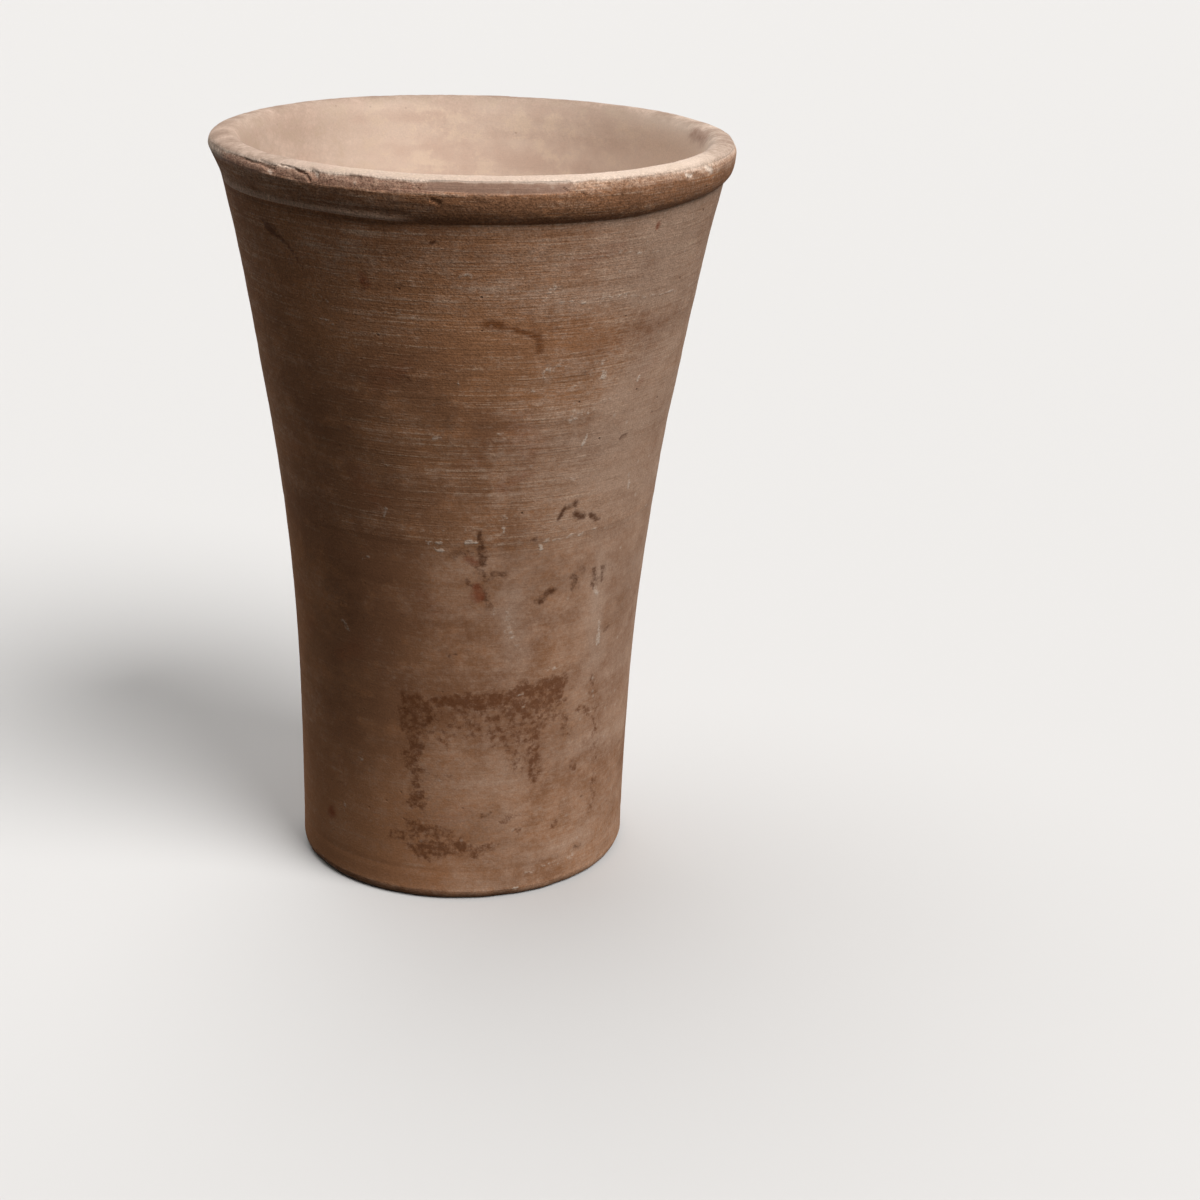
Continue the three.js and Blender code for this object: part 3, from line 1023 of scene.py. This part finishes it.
def brown_clay(g):
    """Brown clay with warmer blotches."""
    colour = g.blend(g.rise(g.noise.patches, 0.32, 0.66), CLAY_DARK, CLAY_BROWN)
    orange = g.rise(g.weighed(blotches=0.6, patches=0.4), 0.46, 0.64)
    colour = g.cover(colour, CLAY_ORANGE, orange, 0.7)
    return g.cover(colour, CLAY_WARM, g.mark.warm)


def film_and_light_share(g):
    """How much of the wiped film covers each point: it is streaked along the wiping, and crumbly. The film
    mark also carries painted light below the groove and a partly painted sheen at the right.
    """
    wiping = g.times(g.mark.wipe, g.sway(hairs=0.8, dashes=0.8, strips=0.5))
    crumbs = g.times(g.rise(g.mark.wipe, 0.2, 1.0, 0.7, 1.0), g.sway(powder=0.9, flecks=0.6))
    calm = g.rise(g.mark.film, 0.3, 0.8, 1.0, 0.45)
    clouds = g.sway(bands=0.4, patches=0.5, blotches=0.55)
    return g.rise(g.add(g.mark.film, clouds, g.times(calm, g.add(wiping, crumbs))), 0.12, 0.98)


def wipe_lines(g, colour):
    """Bright strips, pale hairs and dark hairs along the wiping."""
    lines = g.weighed(dashes=0.3, hairs=0.5, strips=0.2)
    bright = g.rise(g.add(lines, g.sway(blotches=0.3, flecks=0.3, grain=0.25)), 0.56, 0.7)
    film_and_light_weight = g.add(g.times(g.mark.film, 0.4), 0.3)
    colour = g.cover(colour, STREAK_PALE, bright, g.mark.wipe, film_and_light_weight, 0.7)
    broken = g.rise(g.weighed(flecks=0.5, grain=0.5), 0.4, 0.58)
    pale_hair = g.rise(g.add(g.noise.hairs, g.sway(patches=0.3)), 0.58, 0.7)
    colour = g.cover(colour, STREAK_PALE, pale_hair, broken, g.mark.wipe, 0.45)
    dark_hair = g.rise(g.add(g.noise.hairs, g.sway(blotches=0.3)), 0.44, 0.3)
    return g.cover(colour, SMUDGE_AND_SHADE_BROWN, dark_hair, g.mark.wipe, 0.2)


def pale_clay(g):
    """The paler clay inside and over the lip, lighter at the right as painted light."""
    mottled = g.rise(g.weighed(patches=0.4, bands=0.35, blotches=0.25), 0.4, 0.6)
    colour = g.blend(mottled, PALE_ROSE, PALE_CLAY)
    warm = g.rise(g.weighed(blotches=0.8, flecks=0.2), 0.48, 0.62)
    colour = g.cover(colour, PALE_WARM, warm, 0.6)
    # Painted light where the film mark is high.
    return g.cover(colour, PALE_FILM_AND_LIGHT, g.mark.film)


def frayed_pale(g):
    """How pale each point is, with a frayed change to brown."""
    fray = g.times(g.sway(flecks=2.2), g.mark.pale, g.rest(g.mark.pale))
    return g.rise(g.add(g.mark.pale, fray), 0.0, 1.0)


def lip_wear(g, colour, brown):
    """Painted shade on the lip and the inside, bare core where the rim has flaked, and the smooth patch at
    its front.
    """
    # Painted shade, broken up by noise.
    shade_breakup = g.rise(g.weighed(blotches=0.65, flecks=0.35), 0.15, 0.65)
    colour = g.cover(colour, LIP_SHADE_GREY, g.mark.dirt, shade_breakup)
    core = g.blend(g.rise(g.weighed(flecks=0.6, dashes=0.4), 0.4, 0.6), CORE_RED, CORE_BROWN)
    colour = g.cover(colour, core, g.mark.worn, brown, 0.85)
    return g.cover(colour, PATCH_GREY, g.mark.smooth_patch, brown, 0.9)


def stain_and_shade_share(g):
    # Stains, with painted shade in the rim's groove.
    stain_and_shade_cover = g.rise(g.add(g.mark.stain, g.sway(flecks=1.0, mottle=1.4)), 0.1, 0.95)
    return g.times(stain_and_shade_cover, g.rise(g.mark.stain, 0.0, 0.3))


def stains_and_shade(g, colour, stain_and_shade_cover):
    """Smudges, drips, stains, the ghost of a label, rust and scuffs, with painted shade under the roll,
    below the groove and in the groove.
    """
    # Smudges, with painted shade under the roll and below the groove.
    colour = g.cover(colour, SMUDGE_AND_SHADE_BROWN, g.mark.smudge, g.rise(g.noise.powder, 0.25, 0.65), 0.85)
    drips = g.rise(g.add(g.mark.run, g.sway(powder=0.5)), 0.05, 0.9)
    colour = g.cover(colour, RUN_BROWN, drips, g.rise(g.mark.run, 0.0, 0.3), 0.85)
    colour = g.cover(colour, STAIN_AND_SHADE_BROWN, stain_and_shade_cover, 0.9)
    ghost = g.rise(g.add(g.mark.label, g.sway(mottle=2.6, powder=0.9)), 0.15, 1.0)
    colour = g.cover(colour, LABEL_BROWN, ghost, g.rise(g.mark.label, 0.0, 0.35), 0.78)
    rusty = g.rise(g.add(g.mark.rust, g.sway(flecks=0.3, mottle=0.42)), 0.05, 0.9)
    colour = g.cover(colour, RUST_RED, rusty, g.rise(g.mark.rust, 0.02, 0.2), 0.8)
    return g.cover(colour, GROUND_DARK, g.mark.ground, g.rise(g.noise.flecks, 0.35, 0.65), 0.55)


def pitted_share(g):
    """Small pits, fewer inside and on the smooth lower wall."""
    pits = g.spots(210, inner=0.03, outer=0.1, missing=0.7)
    return g.times(pits, g.rise(g.mark.pale, 0.5, 1.0, 1.0, 0.3), g.rise(g.mark.wipe, 0.2, 0.7, 0.35, 1.0))


def chalk_and_highlight_share(g):
    chalk_and_highlight_cover = g.rise(g.add(g.mark.chalk, g.sway(flecks=1.3, dashes=0.5)), 0.4, 0.95)
    return g.times(chalk_and_highlight_cover, g.rise(g.mark.chalk, 0.05, 0.3))


def deposits(g, colour, pitted, chalk_and_highlight_cover):
    """Dark pits, lime specks and chalky deposits, with painted highlights on the rim's ledge and ridge."""
    colour = g.cover(colour, STAIN_AND_SHADE_BROWN, pitted, 0.6)
    specks = g.times(g.spots(300, inner=0.05, outer=0.2, missing=0.8), g.mark.film)
    return g.blend(g.math("MAXIMUM", g.times(chalk_and_highlight_cover, 0.8), g.times(specks, 0.5)), colour, CHALK_AND_HIGHLIGHT_WHITE)


def grainy(g, colour):
    """The colour, lighter and darker by the clay's grain."""
    shade = g.add(1.0, g.times(g.mark.grit, g.sway(grain=2.2, flecks=0.7)))
    tone = g.node("CombineColor", {0: shade, 1: shade, 2: shade})
    return g.blend(1.0, colour, tone.outputs[0], "MULTIPLY")


def clay_roughness(g, film_and_light_cover):
    rough = g.add(0.86, g.times(film_and_light_cover, -0.12), g.sway(grain=0.2), g.times(g.mark.pale, 0.08))
    rough = g.add(rough, g.times(g.mark.smooth_patch, -0.2), g.times(g.mark.worn, -0.12))
    return g.math("MINIMUM", rough, 1.0)


def clay_relief(g, pitted, stain_and_shade_cover, chalk_and_highlight_cover):
    """The normal over wiping lines, grain, bare core, pits, stains and deposits."""
    lines = g.times(g.weighed(hairs=0.09, dashes=0.08), g.rest(g.mark.pale), g.mark.wipe)
    grit = g.times(g.weighed(grain=0.22, flecks=0.16), g.mark.grit)
    core = g.times(g.weighed(flecks=0.12), g.mark.worn)
    spots = g.add(g.times(pitted, -0.2), g.times(stain_and_shade_cover, -0.03), g.times(chalk_and_highlight_cover, 0.06))
    height = g.add(lines, grit, core, spots)
    return g.node("Bump", {"Strength": 0.8, "Distance": MM, "Height": height}).outputs["Normal"]


def make_clay():
    material = bpy.data.materials.new("fired_clay")
    g = ClayGraph(material)
    film_and_light_cover, pale = film_and_light_share(g), frayed_pale(g)
    stain_and_shade_cover, pitted, chalk_and_highlight_cover = stain_and_shade_share(g), pitted_share(g), chalk_and_highlight_share(g)
    colour = g.blend(g.times(film_and_light_cover, 0.85), brown_clay(g), FILM_AND_LIGHT_GREY)
    colour = wipe_lines(g, colour)
    colour = g.blend(pale, colour, pale_clay(g))
    colour = lip_wear(g, colour, brown=g.rest(pale))
    colour = stains_and_shade(g, colour, stain_and_shade_cover)
    colour = grainy(g, deposits(g, colour, pitted, chalk_and_highlight_cover))
    g.shader("Principled BSDF", {
        "Base Color": colour,
        "Roughness": clay_roughness(g, film_and_light_cover),
        "Specular IOR Level": 0.12,
        "Normal": clay_relief(g, pitted, stain_and_shade_cover, chalk_and_highlight_cover),
    })
    return material


# Studio, in metres


FOCAL_PIXELS = 2299.5  # focal length in pixels of a frame 1200 pixels wide
FRAME_PIXELS = 1200
SENSOR_MM = 36
CAMERA_DISTANCE = 0.6354  # from the centre of the standing face
CAMERA_RAISE = math.radians(25.83)  # of the camera above the floor, seen from that centre
CAMERA_YAW = math.radians(3.64)
CAMERA_PITCH = math.radians(20.16)
CAMERA_ROLL = math.radians(1.27)
FLOOR_HALF = 4.0
FLOOR_SEEN = srgb(209, 207, 205)
FLOOR_BOUNCE = srgb(60, 58, 56)  # for the light that the floor throws back, as a darker table does
WORLD_COLOUR = srgb(240, 238, 235)
WORLD_LIGHT = 0.08


def make_camera():
    data = bpy.data.cameras.new("camera")
    data.sensor_width = SENSOR_MM
    data.lens = FOCAL_PIXELS * SENSOR_MM / FRAME_PIXELS
    camera = new_object("camera", data)
    level = Matrix.Rotation(-CAMERA_YAW, 4, "Z") @ Matrix.Rotation(math.pi / 2 - CAMERA_PITCH, 4, "X")
    place = CAMERA_DISTANCE * Vector((0, -math.cos(CAMERA_RAISE), math.sin(CAMERA_RAISE)))
    camera.matrix_world = Matrix.Translation(place) @ level @ Matrix.Rotation(CAMERA_ROLL, 4, "Z")
    bpy.context.scene.camera = camera


def seen_share(g):
    """1 for rays that see a thing directly, in a mirror or through glass, and 0 for the rest."""
    path = g.node("LightPath", {}).outputs
    indirect = g.math("MAXIMUM", path["Is Glossy Ray"], path["Is Transmission Ray"])
    return g.math("MAXIMUM", path["Is Camera Ray"], indirect)


def make_world():
    world = bpy.data.worlds.new("studio")
    bpy.context.scene.world = world
    g = Graph(world)
    strength = g.rise(seen_share(g), 0.0, 1.0, WORLD_LIGHT, 1.0)
    g.shader("Background", {"Color": WORLD_COLOUR, "Strength": strength})


def make_floor():
    material = bpy.data.materials.new("floor")
    g = Graph(material)
    colour = g.blend(seen_share(g), FLOOR_BOUNCE, FLOOR_SEEN)
    g.shader("Principled BSDF", {"Base Color": colour, "Roughness": 0.9, "Specular IOR Level": 0.1})
    mesh = bpy.data.meshes.new("floor")
    sides = ((-1, -1), (1, -1), (1, 1), (-1, 1))
    mesh.from_pydata([(x * FLOOR_HALF, y * FLOOR_HALF, 0) for x, y in sides], [], [(0, 1, 2, 3)])
    mesh.materials.append(material)
    floor = new_object("floor", mesh)


def make_lamp(name, azimuth, elevation, strength, spread):
    """A far soft lamp that fills an angle of spread. Azimuth 0 is the front and positive is to the right."""
    data = bpy.data.lights.new(name, "SUN")
    data.energy = strength
    data.angle = math.radians(spread)
    lamp = new_object(name, data)
    turn, tip = math.radians(azimuth), math.radians(elevation)
    way = Vector((math.sin(turn) * math.cos(tip), -math.cos(turn) * math.cos(tip), math.sin(tip)))
    lamp.location = way
    lamp.rotation_euler = way.to_track_quat("Z", "Y").to_euler()


def make_studio():
    make_camera()
    make_world()
    make_floor()
    make_lamp("key", azimuth=45, elevation=49, strength=3.2, spread=34)
    make_lamp("top", azimuth=-140, elevation=69, strength=1.3, spread=50)
    make_lamp("back", azimuth=178, elevation=26, strength=0.85, spread=60)
    bpy.context.scene.view_settings.view_transform = "Standard"


def make_vase():
    clay = make_clay()
    pieces = {
        "base_disc": make_base_disc(clay),
        "lower_wall": make_lower_wall(clay),
        "upper_wall": make_upper_wall(clay),
        "rim_band": make_rim_band(clay),
    }
    for node, piece in pieces.items():
        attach(piece, "root")
        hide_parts(node)


make_studio()
make_vase()
